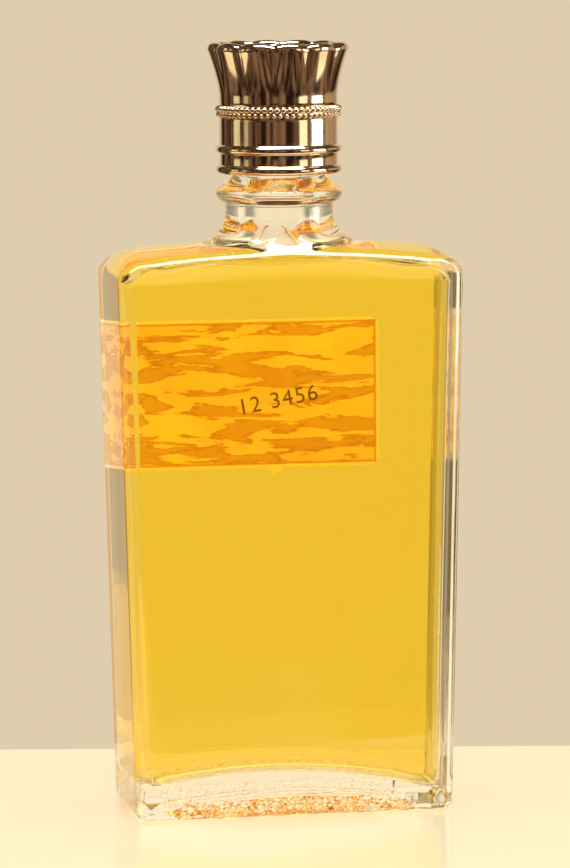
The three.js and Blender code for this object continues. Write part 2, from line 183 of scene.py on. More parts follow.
side_share = add_node(tree, "ShaderNodeMapRange", SMOOTH, Value=ahead, From_Min=0.93, From_Max=0.62)
front_share = add_node(tree, "ShaderNodeMapRange", SMOOTH, Value=ahead, From_Min=0.0, From_Max=-0.4)
above_share = add_node(tree, "ShaderNodeMapRange", SMOOTH, Value=height, From_Min=0.35, From_Max=0.8)
below_share = add_node(tree, "ShaderNodeMapRange", SMOOTH, Value=height, From_Min=-0.14, From_Max=-0.22)
refracted = SEEN_BEHIND
for share, colour in ((side_share, SEEN_BESIDE), (front_share, SEEN_IN_FRONT), (above_share, SEEN_ABOVE),
                      (below_share, SEEN_BELOW)):
    refracted = add_node(tree, "ShaderNodeMix", COLOUR_MIX, i0=share.outputs[0], i6=refracted,
                         i7=colour).outputs[2]
ray = add_node(tree, "ShaderNodeLightPath")
glanced = add_node(tree, "ShaderNodeMix", COLOUR_MIX, i0=ray.outputs["Is Glossy Ray"], i6=SURROUND,
                   i7=mirrored.outputs[2])
seen = add_node(tree, "ShaderNodeMix", COLOUR_MIX, i0=ray.outputs["Is Transmission Ray"],
                i6=glanced.outputs[2], i7=refracted)
background = add_node(tree, "ShaderNodeBackground", Color=seen.outputs[2], Strength=1.0)
tree.links.new(background.outputs[0], add_node(tree, "ShaderNodeOutputWorld").inputs[0])

LAMP_AIM = Vector((0, 0, 0.11))


def lamp(name, azimuth, distance, height, width, tall, power, colour, lights="glossy"):
    """A soft rectangular lamp, aimed at the bottle, that shows in gloss or lights matt surfaces.

    Its azimuth is in degrees to the right of the direction from the bottle to the camera.
    """
    turn = view_azimuth + math.radians(azimuth)
    data = bpy.data.lights.new(name, "AREA")
    data.shape = "RECTANGLE"
    data.size = width
    data.size_y = tall
    data.energy = power
    data.color = linear(colour)[:3]
    item = bpy.data.objects.new(name, data)
    item.location = (math.sin(turn) * distance, -math.cos(turn) * distance, height)
    item.rotation_euler = (LAMP_AIM - item.location).to_track_quat("-Z", "Y").to_euler()
    item.visible_camera = False
    item.visible_transmission = False
    item.visible_glossy = lights == "glossy"
    item.visible_diffuse = lights == "matt"
    scene.collection.objects.link(item)
    return item


lamp("window_right_near", 49, 1.6, 0.28, 0.46, 0.75, 1.5, "#FFF3D4")
lamp("window_right_far", 81, 1.6, 0.28, 0.72, 0.75, 9, "#FFFCF4")
lamp("room_right_back", 122, 1.6, 0.28, 1.3, 0.75, 1.3, "#E8C8A0")
lamp("window_left_far", -88, 1.6, 0.28, 0.46, 0.75, 0.9, "#F4F2C4")
lamp("window_left_near", -65, 1.6, 0.28, 0.24, 0.75, 0.33, "#ECE8B8")
lamp("overhead_glow", 10, 0.35, 1.5, 1.5, 0.42, 37, "#FFFCF5")
table_lamp = lamp("table_lamp", 10, 0.35, 1.5, 0.9, 0.6, 19, "#FFFCF5", "matt")
label_lamp = lamp("label_lamp", 0, 1.2, 0.3, 0.5, 0.5, 15, "#FFD588", "matt")

scene.view_settings.view_transform = "Standard"
scene.cycles.max_bounces = 24
scene.cycles.transmission_bounces = 24
scene.cycles.glossy_bounces = 10
scene.cycles.diffuse_bounces = 5
scene.cycles.sample_clamp_indirect = 12


# Bottle: soda-lime glass blown into a two-part iron mould, tapering to its base, with a crowned shoulder and
# a short neck with a collar and a screw thread. The cavity is slightly uneven, as blown glass is, and its
# floor is thick and arched. It is lofted ring by ring, because the body turns into the neck.
BODY_HALF_TOP = 34.0
BODY_HALF_BASE = 31.4
HALF_DEPTH = 14.4
SHOULDER = 110.0
SHOULDER_DROP = 5.4
END_ROUND = 6.0
FACE_ROUND = 3.6
CORNER_ROUND = 2.6
HEEL_ROUND = 2.0
RIM_WIDTH = 2.4
PUSH_UP = 0.8
PUSH_UP_SLOPE = 2.0
PUSH_UP_CORNER = 3.4
BASE_ARCH = 2.4
BASE_REACH = 28.0
CROWN = 1.6
CROWN_FALL = 1.1
CROWN_REACH = BODY_HALF_TOP - END_ROUND
CROWN_DEPTH_REACH = HALF_DEPTH - FACE_ROUND
NECK = 10.5
NECK_SPREAD_END = 5.0
NECK_SPREAD_FACE = 2.8
NECK_SPREAD_UP = 5.4
COLLAR_LOW = 118.6
COLLAR = 12.3
FINISH_LOW = 124.4
FINISH_TOP = 136.5
FINISH = 8.6
LIP_ROUND = 0.5
BORE = 5.25
THREAD_PITCH = 3.175
THREAD_HEIGHT = 1.1
THREAD_WIDTH = 1.9
THREAD_FLANK = 0.55
THREAD_TURNS = 1.5
THREAD_FADE = 1 / 16
THREAD_BELOW_LIP = 1.6
THREAD_MIDDLE = FINISH_TOP - THREAD_BELOW_LIP - (THREAD_WIDTH + THREAD_TURNS * THREAD_PITCH) / 2
ARC_POINTS = 14
LONG_POINTS = 22
SHORT_POINTS = 10
CORNER_SWEEP = math.radians(44)
WALL_STEPS = 25
FINISH_STEPS = 56


def body_half(z):
    """Half the body's width at a height, on the straight taper of its ends."""
    return BODY_HALF_BASE + (BODY_HALF_TOP - BODY_HALF_BASE) * z / SHOULDER


def circle_point(radius, angle):
    return radius * Vector((math.cos(angle), math.sin(angle)))


def outline(half_width, half_depth, radius, blend=0.0, round_radius=0.0):
    """Points of a rounded rectangle, anticlockwise from the back of its +X side; blend 1 makes a circle."""
    quarter = math.pi / 2
    middles = [quarter * (corner + 0.5) for corner in range(5)]
    centres = [Vector((math.copysign(half_width - radius, math.cos(middle)),
                       math.copysign(half_depth - radius, math.sin(middle)))) for middle in middles]
    points = []
    for corner in range(4):
        for k in range(ARC_POINTS + 1):
            share = k / ARC_POINTS
            square = centres[corner] + circle_point(radius, quarter * (corner + share))
            rounded = circle_point(round_radius, middles[corner] + (share - 0.5) * CORNER_SWEEP)
            points.append(square.lerp(rounded, blend))
        side = circle_point(radius, quarter * (corner + 1))
        count = LONG_POINTS if corner % 2 == 0 else SHORT_POINTS
        for k in range(1, count):
            share = 0.5 - 0.5 * math.cos(math.pi * k / count)
            turn = middles[corner] + CORNER_SWEEP / 2 + k / count * (quarter - CORNER_SWEEP)
            square = (centres[corner] + side).lerp(centres[corner + 1] + side, share)
            points.append(square.lerp(circle_point(round_radius, turn), blend))
    return points


def crown_lift(p, reach, depth_reach):
    """Lift of a crowned top: highest in the middle, dropping to both ends and to both faces."""
    return CROWN * (1 - min(1.0, abs(p.x) / reach) ** 2) - CROWN_FALL * min(1.0, abs(p.y) / depth_reach) ** 2


def root_lift(point, radius, spread_end, spread_face, up):
    """How far the neck's spread lifts the shoulder at a point: a quarter ellipse round the neck."""
    distance = max(0.0, point.length - radius)
    across = abs(point.y) / max(point.length, 1e-6)
    spread = spread_end + (spread_face - spread_end) * across ** 2
    short = max(0.0, 1 - distance / spread)
    return up * (1 - math.sqrt(max(0.0, 1 - short * short)))


def ring(points, height):
    """A ring of the loft: height is a number, or a function of the point."""
    lift = height if callable(height) else (lambda point: height)
    return [Vector((p.x, p.y, lift(p))) for p in points]


def circle_ring(radius, height):
    return ring(outline(1, 1, 0.5, 1.0, radius), height)


def eased(count):
    """Shares from just past 0 to 1, closer together towards 1."""
    return [1 - (1 - k / count) ** 2.2 for k in range(1, count + 1)]


def quarter_turn(count):
    """Inward and upward shares round a quarter circle, from a wall to a level top."""
    angles = [math.pi / 2 * k / count for k in range(count + 1)]
    return [(1 - math.cos(angle), math.sin(angle)) for angle in angles]


def loft(name, rings):
    """A smooth closed mesh through rings in millimetres; its two ends close on their middles."""
    mesh = bmesh.new()
    rows = [[mesh.verts.new(point * MM) for point in points] for points in rings]
    count = len(rows[0])
    for low, high in zip(rows, rows[1:]):
        for i in range(count):
            mesh.faces.new((low[i], low[(i + 1) % count], high[(i + 1) % count], high[i]))
    for row in (rows[0][::-1], rows[-1]):
        pole = mesh.verts.new(sum((vertex.co for vertex in row), Vector()) / count)
        for i in range(count):
            mesh.faces.new((row[i], row[(i + 1) % count], pole))
    bmesh.ops.recalc_face_normals(mesh, faces=mesh.faces)
    data = bpy.data.meshes.new(name)
    mesh.to_mesh(data)
    mesh.free()
    data.shade_smooth()
    piece = bpy.data.objects.new(name, data)
    scene.collection.objects.link(piece)
    return piece


def thread_lift(angle, z):
    """Height of the screw thread at a place on the neck, fading in and out at the ends of its run."""
    lift = 0.0
    for turn in range(-2, 3):
        turns = angle / (2 * math.pi) + turn
        if abs(turns) <= THREAD_TURNS / 2:
            off = abs(z - THREAD_MIDDLE - turns * THREAD_PITCH)
            flank = min(1.0, max(0.0, (THREAD_WIDTH / 2 - off) / THREAD_FLANK))
            fade = min(1.0, (THREAD_TURNS / 2 - abs(turns)) / THREAD_FADE)
            lift = max(lift, THREAD_HEIGHT * flank * fade)
    return lift


def threaded_ring(radius, z, sign=1, shift=0.0):
    """A round ring that the thread raises; sign -1 and a shift make the thread that runs between turns."""
    points = []
    for p in circle_ring(radius, 0):
        reach = radius + sign * thread_lift(math.atan2(p.y, p.x), z + shift)
        points.append(p.normalized() * reach + Vector((0, 0, z)))
    return points


def base_rings():
    """From the middle of the pushed-up base, down its slope to the rim and round the heel."""
    rim_half_width = body_half(0) - HEEL_ROUND - RIM_WIDTH
    rim_half_depth = HALF_DEPTH - HEEL_ROUND - RIM_WIDTH
    inner_width = rim_half_width - PUSH_UP_SLOPE
    inner_depth = rim_half_depth - PUSH_UP_SLOPE

    def pushed_up(p, share=1.0):
        return (PUSH_UP + BASE_ARCH * (1 - min(1.0, abs(p.x) / BASE_REACH) ** 2)) * share

    rings = []
    for s in (0.06, 0.3, 0.6, 0.85, 0.94):
        rings.append(ring(outline(inner_width * s, inner_depth * s, PUSH_UP_CORNER * s), pushed_up))
    for s in (0, 0.2, 0.4, 0.6, 0.8, 1):
        rise = 1 - s * s * (3 - 2 * s)
        out = PUSH_UP_SLOPE * s
        rings.append(ring(outline(inner_width + out, inner_depth + out, PUSH_UP_CORNER),
                          lambda p, rise=rise: pushed_up(p, rise)))
    for inward, up in reversed(quarter_turn(8)):
        cut = HEEL_ROUND * inward
        points = outline(body_half(HEEL_ROUND) - cut, HALF_DEPTH - cut, CORNER_ROUND - cut)
        rings.append(ring(points, HEEL_ROUND * (1 - up)))
    return rings


def wall_rings():
    """Up the straight walls, over the rounded edge of the shoulder and in to the neck."""
    shoulder_start = SHOULDER - SHOULDER_DROP
    top_width = body_half(shoulder_start)

    def crown(p):
        return crown_lift(p, CROWN_REACH, CROWN_DEPTH_REACH)

    def root(p):
        return root_lift(p, NECK, NECK_SPREAD_END, NECK_SPREAD_FACE, NECK_SPREAD_UP)

    rings = []
    for k in range(1, WALL_STEPS):
        z = HEEL_ROUND + (shoulder_start - HEEL_ROUND) * k / WALL_STEPS
        rings.append(ring(outline(body_half(z), HALF_DEPTH, CORNER_ROUND), z))
    for inward, up in quarter_turn(12):
        points = outline(top_width - END_ROUND * inward, HALF_DEPTH - FACE_ROUND * inward, CORNER_ROUND)
        rings.append(ring(points, lambda p, up=up: (
            shoulder_start + SHOULDER_DROP * up + crown(p) * up + root(p) * up ** 3)))
    for s in eased(22):
        points = outline(top_width - END_ROUND, HALF_DEPTH - FACE_ROUND, CORNER_ROUND, s, NECK)
        rings.append(ring(points, lambda p: SHOULDER + crown(p) + root(p)))
    return rings


def neck_rings():
    """Up the neck, over its collar and the screw thread to the lip, and into the bore."""
    neck_start = SHOULDER + CROWN + NECK_SPREAD_UP
    collar = [(NECK, 0.0), (NECK + 0.15, 0.12), (NECK + 0.7, 0.3), (NECK + 1.2, 0.65), (COLLAR - 0.2, 1.1),
              (COLLAR, 1.6), (COLLAR, 2.1), (COLLAR - 0.15, 2.5), (COLLAR - 0.5, 2.8), (COLLAR - 1.0, 3.1),
              (COLLAR - 1.9, 3.9), (COLLAR - 2.8, 4.7), (FINISH + 0.3, 5.2), (FINISH + 0.06, 5.5),
              (FINISH, 5.75)]
    rings = [circle_ring(NECK, (neck_start + COLLAR_LOW) / 2)]
    rings += [circle_ring(radius, COLLAR_LOW + rise) for radius, rise in collar]
    for k in range(1, FINISH_STEPS):
        z = FINISH_LOW + (FINISH_TOP - LIP_ROUND - FINISH_LOW) * k / FINISH_STEPS
        rings.append(threaded_ring(FINISH, z))
    for inward, up in quarter_turn(5):
        rings.append(circle_ring(FINISH - LIP_ROUND * inward, FINISH_TOP - LIP_ROUND * (1 - up)))
    for out, down in ((0.4, 0), (0.12, 0.12), (0, 0.4)):
        rings.append(circle_ring(BORE + out, FINISH_TOP - down))
    return rings


FACE_WALL = 3.4
END_WALL = 2.5
ROOF_WALL = 2.9
ROOF_REACH = 24.0
ROOF_DEPTH_REACH = 8.4
ROOF_END_ROUND = 4.0
ROOF_FACE_ROUND = 2.6
ROOF_SPREAD_END = 5.0
ROOF_SPREAD_FACE = 3.6
ROOF_SPREAD_UP = 4.6
CAVITY_ROUND = 2.0
FLOOR = 4.8
FLOOR_ARCH = 3.6
FLOOR_LEAN = 1.2
FLOOR_ROUND = 2.6
FLOOR_CLEAR = 2.0
CAVITY_STEPS = 31
UNEVEN = 0.16


def uneven(points, half_width, half_depth):
    """Moves each point in or out by slow waves, as blown glass thickens and thins."""
    moved = []
    for p in points:
        wave = noise.noise(Vector((p.x / 21, p.y / 9 + 4, p.z / 34)))
        wave += 0.5 * noise.noise(Vector((p.x / 7, p.y / 5 + 9, p.z / 47)))
        side = Vector((p.x / (half_width(p.z) ** 2), p.y / (half_depth ** 2), 0)).normalized()
        moved.append(p + side * UNEVEN * wave)
    return moved


def cavity_rings(outset=0.0):
    """The cavity from the middle of its floor up to the bore, pushed out into the glass by an outset."""
    half_depth = HALF_DEPTH - FACE_WALL + outset
    roof = SHOULDER - ROOF_WALL + outset
    floor = FLOOR - outset

    def half_width(z):
        return body_half(z) - END_WALL + outset

    def floor_height(p):
        share = p.x / half_width(floor)
        return floor + FLOOR_ARCH * (1 - share ** 2) - FLOOR_LEAN * share

    def crown(p):
        return crown_lift(p, ROOF_REACH, ROOF_DEPTH_REACH)

    def root(p):
        return root_lift(p, BORE - outset, ROOF_SPREAD_END, ROOF_SPREAD_FACE, ROOF_SPREAD_UP)

    rings = []
    for s in (0.05, 0.2, 0.4, 0.6, 0.8, 0.92):
        points = outline((half_width(floor) - FLOOR_ROUND) * s, (half_depth - FLOOR_ROUND) * s,
                         CAVITY_ROUND * s)
        rings.append(ring(points, floor_height))
    for inward, up in reversed(quarter_turn(8)):
        cut = FLOOR_ROUND * inward
        points = ring(outline(half_width(floor) - cut, half_depth - cut, CAVITY_ROUND),
                      lambda p, up=up: floor_height(p) + FLOOR_ROUND * (1 - up))
        rings.append(uneven(points, half_width, half_depth))
    start = floor + FLOOR_ROUND + FLOOR_ARCH + FLOOR_CLEAR
    end = roof - ROOF_END_ROUND
    for k in range(CAVITY_STEPS):
        z = start + (end - start) * k / CAVITY_STEPS
        points = ring(outline(half_width(z), half_depth, CAVITY_ROUND), z)
        rings.append(uneven(points, half_width, half_depth))
    roof_width = half_width(roof)
    for inward, up in quarter_turn(9):
        points = ring(outline(roof_width - ROOF_END_ROUND * inward, half_depth - ROOF_FACE_ROUND * inward,
                              CAVITY_ROUND),
                      lambda p, up=up: roof - ROOF_END_ROUND * (1 - up) + crown(p) * up + root(p) * up ** 3)
        rings.append(uneven(points, half_width, half_depth))
    for s in eased(20):
        points = outline(roof_width - ROOF_END_ROUND, half_depth - ROOF_FACE_ROUND, CAVITY_ROUND, s,
                         BORE + outset)
        rings.append(ring(points, lambda p: roof + crown(p) + root(p)))
    return rings


outside = base_rings() + wall_rings() + neck_rings()
bottle = loft("bottle_glass_body", outside + cavity_rings()[::-1])

# Clear soda-lime glass, blown in a mould and fire-polished: sharp highlights and strong bending of what is
# behind, with a slow ripple left by the mould. Rows of stipple under the base break the light into specks.
RIPPLE = 18.18
RIPPLE_DEPTH = 0.6
STIPPLE_SPACING = 1.3
STIPPLE_DEPTH = 0.8
STIPPLE_TOP = 3.6
STIPPLE_REACH = 24.0
ROW_SPACING = 5.6
ROW_BARE = 0.9
glass, tree, output = new_material("moulded_soda_lime_glass")
place = add_node(tree, "ShaderNodeTexCoord").outputs["Object"]
ripple = add_node(tree, "ShaderNodeTexNoise", Vector=place, Scale=1000 / RIPPLE, Detail=1.0)
mould = add_node(tree, "ShaderNodeBump", Height=ripple.outputs["Fac"], Strength=0.12,
                 Distance=RIPPLE_DEPTH * MM)
spot = add_node(tree, "ShaderNodeSeparateXYZ", Vector=place)
underside = add_node(tree, "ShaderNodeMath", {"operation": "LESS_THAN"}, i0=spot.outputs["Z"],
                     i1=STIPPLE_TOP * MM)
row = add_node(tree, "ShaderNodeMath", {"operation": "PINGPONG"}, i0=spot.outputs["Y"],
               i1=ROW_SPACING * MM / 2)
in_row = add_node(tree, "ShaderNodeMapRange", Value=row.outputs[0], From_Min=ROW_BARE * MM,
                  From_Max=(ROW_BARE + 0.3) * MM)
along = add_node(tree, "ShaderNodeMath", {"operation": "ABSOLUTE"}, i0=spot.outputs["X"])
in_length = add_node(tree, "ShaderNodeMapRange", Value=along.outputs[0], From_Min=STIPPLE_REACH * MM,
                     From_Max=(STIPPLE_REACH - 1) * MM)
knurl = add_node(tree, "ShaderNodeTexVoronoi", {"feature": "SMOOTH_F1"}, Vector=place,
                 Scale=1000 / STIPPLE_SPACING, Smoothness=0.3)
stipple = knurl.outputs["Distance"]
for limit in (in_row, in_length, underside):
    stipple = add_node(tree, "ShaderNodeMath", {"operation": "MULTIPLY"}, i0=stipple,
                       i1=limit.outputs[0]).outputs[0]
moulded = add_node(tree, "ShaderNodeBump", Height=stipple, Strength=1.0, Distance=STIPPLE_DEPTH * MM,
                   Normal=mould.outputs[0])
clear = add_node(tree, "ShaderNodeBsdfPrincipled", Base_Color=linear("#FEFEFB"), Roughness=0.0, IOR=1.52,
                 Transmission_Weight=1.0, Normal=moulded.outputs[0])
tree.links.new(clear.outputs[0], output.inputs[0])
bottle.data.materials.append(glass)
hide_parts("bottle_glass")
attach(bottle, "bottle")


# Aftershave: clear golden-yellow alcohol and water that wets the whole cavity up to a level just under the
# shoulder. It reaches a tenth of a millimetre into the glass, so that no film of air lies between them.
LEVEL = 107.9
LIQUID_OUTSET = 0.12
liquid_rings = []
for points in cavity_rings(LIQUID_OUTSET):
    liquid_rings.append([Vector((p.x, p.y, min(p.z, LEVEL))) for p in points])
liquid = loft("aftershave_fill", liquid_rings)

# Dyed alcohol and water: clear as glass, with a yellow that deepens to gold with the depth looked through.
tinted, tree, output = new_material("golden_aftershave")
wet = add_node(tree, "ShaderNodeBsdfPrincipled", Base_Color=(1, 1, 1, 1), Roughness=0.0, IOR=1.36,
               Transmission_Weight=1.0)
dye = add_node(tree, "ShaderNodeVolumeAbsorption", Color=(0.996, 0.888, 0.02, 1), Density=125.0)
tree.links.new(wet.outputs[0], output.inputs[0])
tree.links.new(dye.outputs[0], output.inputs["Volume"])
liquid.data.materials.append(tinted)
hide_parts("aftershave_liquid")
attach(liquid, "bottle")


# Label: heavy cream paper, printed with a gold frame and a plain lozenge, and cut with a small point in its
# lower edge. It is glued all over to the outside of the glass, with glue rolled on in streaks.
LABEL_LEFT = -29.9
LABEL_RIGHT = 20.9
LABEL_LOW = 66.0
LABEL_HIGH = 95.3
LABEL_POINT = 1.6
LABEL_POINT_FOOT = 2.3
LABEL_POINT_FLANK = 1.3
LABEL_POINT_EASE = 0.45
LABEL_CORNER = 2.0
LABEL_PRESSED = 0.1
LABEL_WITHIN = 0.01
label_middle = (LABEL_LEFT + LABEL_RIGHT) / 2
label_front = HALF_DEPTH - LABEL_PRESSED
label_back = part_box("front_label")[1][1] / MM - LABEL_WITHIN
edge = [(LABEL_LEFT, LABEL_LOW)]
for x, drop in ((-LABEL_POINT_FOOT, 0), (-LABEL_POINT_FLANK, LABEL_POINT_EASE), (0, LABEL_POINT),
                (LABEL_POINT_FLANK, LABEL_POINT_EASE), (LABEL_POINT_FOOT, 0)):
    edge.append((x, LABEL_LOW - drop))
for start, height in ((-90, LABEL_LOW + LABEL_CORNER), (0, LABEL_HIGH - LABEL_CORNER)):
    for k in range(7):
        angle = math.radians(start + 15 * k)
        edge.append((LABEL_RIGHT - LABEL_CORNER + LABEL_CORNER * math.cos(angle),
                     height + LABEL_CORNER * math.sin(angle)))
edge.append((LABEL_LEFT, LABEL_HIGH))
mesh = bmesh.new()
inner = [mesh.verts.new(Vector((x, label_front, z)) * MM) for x, z in edge]
outer = [mesh.verts.new(Vector((x, label_back, z)) * MM) for x, z in edge]
mesh.faces.new(inner)
printed_side = mesh.faces.new(outer[::-1])
printed_side.material_index = 1
for i in range(len(edge)):
    j = (i + 1) % len(edge)
    mesh.faces.new((inner[j], inner[i], outer[i], outer[j]))
bmesh.ops.recalc_face_normals(mesh, faces=mesh.faces)
label_data = bpy.data.meshes.new("label_sheet")
mesh.to_mesh(label_data)
mesh.free()
label = bpy.data.objects.new("label_sheet", label_data)
scene.collection.objects.link(label)


def inside_edges(tree, place, left):
    """Distance in metres inside the label's edges, with its left edge put at a given x, as an output."""
    spot = add_node(tree, "ShaderNodeSeparateXYZ", Vector=place)
    distance = None
    for axis, low, high in (("X", left, LABEL_RIGHT), ("Z", LABEL_LOW, LABEL_HIGH)):
        shifted = add_node(tree, "ShaderNodeMath", {"operation": "SUBTRACT"}, i0=spot.outputs[axis],
                           i1=(low + high) / 2 * MM)
        size = add_node(tree, "ShaderNodeMath", {"operation": "ABSOLUTE"}, i0=shifted.outputs[0])
        inside = add_node(tree, "ShaderNodeMath", {"operation": "SUBTRACT"}, i0=(high - low) / 2 * MM,
                          i1=size.outputs[0]).outputs[0]
        if distance is None:
            distance = inside
        else:
            distance = add_node(tree, "ShaderNodeMath", {"operation": "MINIMUM"}, i0=distance,
                                i1=inside).outputs[0]
    return distance


# Back of glued paper: cream where the roller laid the glue on, darker in long flat patches where it missed,
# with a painted highlight as a pale margin and a painted shade as a darker line just inside it, near three
# edges, not the left.
STREAK_LENGTH = 17.24
STREAK_HEIGHT = 3.03
CLOUD = 14.29
NO_LEFT_EDGE = -60.0
EDGE_HIGHLIGHT_WIDTH = 0.5
glued, tree, output = new_material("glued_back_of_label_paper")
place = add_node(tree, "ShaderNodeTexCoord").outputs["Object"]
rolled = add_node(tree, "ShaderNodeMapping", Vector=place, Rotation=(0, math.radians(6), 0),
                  Scale=(1000 / STREAK_LENGTH, 1000 / STREAK_LENGTH, 1000 / STREAK_HEIGHT))
roller = add_node(tree, "ShaderNodeTexNoise", Vector=rolled.outputs[0], Scale=1.0, Detail=5.0,
                  Roughness=0.55, Distortion=0.5)
patches = add_node(tree, "ShaderNodeValToRGB", Fac=roller.outputs["Fac"])
ramp = patches.color_ramp
ramp.elements[0].position = 0.0
ramp.elements[0].color = linear("#D8B256")
ramp.elements[1].position = 0.44
ramp.elements[1].color = linear("#E2C368")
for position, colour in ((0.475, "#CE9E46"), (0.50, "#FFF1A8"), (0.75, "#FFF6BC")):
    ramp.elements.new(position).color = linear(colour)
cloudy = add_node(tree, "ShaderNodeTexNoise", Vector=place, Scale=1000 / CLOUD, Detail=2.0)
cloud = add_node(tree, "ShaderNodeMapRange", Value=cloudy.outputs["Fac"], From_Min=0.35, From_Max=0.7)
clouded = add_node(tree, "ShaderNodeMix", {"data_type": "RGBA", "blend_type": "MULTIPLY"},
                   i0=cloud.outputs[0], i6=patches.outputs["Color"], i7=linear("#F6E6CC"))
depth_in = inside_edges(tree, place, NO_LEFT_EDGE)
# Painted highlight: a pale margin along the label's edges, except the left one.
past_edge_highlight = add_node(tree, "ShaderNodeMapRange", Value=depth_in, From_Min=EDGE_HIGHLIGHT_WIDTH * MM,
                   From_Max=(EDGE_HIGHLIGHT_WIDTH + 0.2) * MM)
with_edge_highlight = add_node(tree, "ShaderNodeMix", COLOUR_MIX, i0=past_edge_highlight.outputs[0], i6=linear("#FFFDF4"),
                       i7=clouded.outputs[2])
# Painted shade: a darker line just inside the pale margin.
edge_shade = add_node(tree, "ShaderNodeMapRange", Value=depth_in, From_Min=(EDGE_HIGHLIGHT_WIDTH + 0.7) * MM,
                 From_Max=(EDGE_HIGHLIGHT_WIDTH + 0.3) * MM)
edge_shade_inside = add_node(tree, "ShaderNodeMath", {"operation": "MULTIPLY"}, i0=edge_shade.outputs[0],
                    i1=past_edge_highlight.outputs[0])
with_edge_shade = add_node(tree, "ShaderNodeMix", COLOUR_MIX, i0=edge_shade_inside.outputs[0], i6=with_edge_highlight.outputs[2],
                      i7=linear("#D9A767"))
pulp = add_node(tree, "ShaderNodeBsdfPrincipled", Base_Color=with_edge_shade.outputs[2], Roughness=0.8, IOR=1.4)
tree.links.new(pulp.outputs[0], output.inputs[0])
label.data.materials.append(glued)

# Printed paper: matt cream stock with a fine tooth, its frame and lozenge stamped in gold foil.
FIBRE = 0.3846
FOIL_LINES = ((1.0, 1.7), (2.2, 2.4))
LOZENGE_LINES = ((0.90, 1.0), (0.72, 0.76), (0.0, 0.30))
LOZENGE_HALF_WIDTH = 9.0
LOZENGE_HALF_HEIGHT = 6.5
printed, tree, output = new_material("printed_label_paper")
place = add_node(tree, "ShaderNodeTexCoord").outputs["Object"]
fibre = add_node(tree, "ShaderNodeTexNoise", Vector=place, Scale=1000 / FIBRE, Detail=3.0)
paper = add_node(tree, "ShaderNodeMix", COLOUR_MIX, i0=fibre.outputs["Fac"], i6=linear("#E6D6AE"),
                 i7=linear("#EFE2C2"))
depth_in = inside_edges(tree, place, LABEL_LEFT)
spot = add_node(tree, "ShaderNodeSeparateXYZ", Vector=place)
lozenge = None
for axis, middle, half in (("X", label_middle, LOZENGE_HALF_WIDTH),
                           ("Z", (LABEL_LOW + LABEL_HIGH) / 2, LOZENGE_HALF_HEIGHT)):
    shifted = add_node(tree, "ShaderNodeMath", {"operation": "SUBTRACT"}, i0=spot.outputs[axis],
                       i1=middle * MM)
    scaled = add_node(tree, "ShaderNodeMath", {"operation": "DIVIDE"}, i0=shifted.outputs[0], i1=half * MM)
    share = add_node(tree, "ShaderNodeMath", {"operation": "ABSOLUTE"}, i0=scaled.outputs[0]).outputs[0]
    if lozenge is None:
        lozenge = share
    else:
        lozenge = add_node(tree, "ShaderNodeMath", {"operation": "ADD"}, i0=lozenge, i1=share).outputs[0]
lines = [(depth_in, low * MM, high * MM) for low, high in FOIL_LINES]
lines += [(lozenge, low, high) for low, high in LOZENGE_LINES]
foiled = None
for value, low, high in lines:
    line = add_node(tree, "ShaderNodeMath", {"operation": "COMPARE"}, i0=value, i1=(low + high) / 2,
                    i2=(high - low) / 2).outputs[0]
    if foiled is None:
        foiled = line
    else:
        foiled = add_node(tree, "ShaderNodeMath", {"operation": "MAXIMUM"}, i0=foiled, i1=line).outputs[0]
face = add_node(tree, "ShaderNodeMix", COLOUR_MIX, i0=foiled, i6=paper.outputs[2], i7=linear("#A9812F"))
shine = add_node(tree, "ShaderNodeMapRange", Value=foiled, To_Min=0.62, To_Max=0.3)
tooth = add_node(tree, "ShaderNodeBump", Height=fibre.outputs["Fac"], Strength=0.3, Distance=0.03 * MM)
stock = add_node(tree, "ShaderNodeBsdfPrincipled", Base_Color=face.outputs[2], Roughness=shine.outputs[0],
                 IOR=1.45, Metallic=foiled, Normal=tooth.outputs[0])
tree.links.new(stock.outputs[0], output.inputs[0])
label.data.materials.append(printed)
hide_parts("front_label")
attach(label, "bottle")


# Lot number: plain figures in brown ink, stamped by hand on the glued side of the label before it was stuck
# on, so that it is read through the aftershave. It slopes a little, as the stamp was held askew.
STAMP_HEIGHT = 4.5
STAMP_LEFT = -7.2
STAMP_LOW = 76.4
STAMP_TILT = math.radians(-10)
STAMP_SPACING = 1.12
STAMP_HALF_THICKNESS = 0.01
STAMP_CLEAR = 0.015
bpy.ops.object.select_all(action="DESELECT")
bpy.ops.object.text_add()
stamp = bpy.context.object
stamp.name = "lot_number_stamp"
stamp.data.body = "12 3456"
stamp.data.size = STAMP_HEIGHT * MM
stamp.data.extrude = STAMP_HALF_THICKNESS * MM
stamp.data.space_character = STAMP_SPACING
select_only(stamp)
bpy.ops.object.convert(target="MESH")
stamp.rotation_euler = (math.radians(90), STAMP_TILT, 0)
stamp.location = Vector((STAMP_LEFT, label_front - STAMP_CLEAR, STAMP_LOW)) * MM
apply_place(stamp)

# Brown stamping ink, pressed on with a rubber die: matt, and patchy where the die carried less of it.
INK_PATCH = 0.6667
ink, tree, output = new_material("brown_stamping_ink")
place = add_node(tree, "ShaderNodeTexCoord").outputs["Object"]
patchy = add_node(tree, "ShaderNodeTexNoise", Vector=place, Scale=1000 / INK_PATCH, Detail=2.0)
shade = add_node(tree, "ShaderNodeMix", COLOUR_MIX, i0=patchy.outputs["Fac"], i6=linear("#3A2A10"),
                 i7=linear("#8A6A30"))
pigment = add_node(tree, "ShaderNodeBsdfPrincipled", Base_Color=shade.outputs[2], Roughness=0.7)
tree.links.new(pigment.outputs[0], output.inputs[0])
stamp.data.materials.append(ink)
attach(stamp, "bottle")

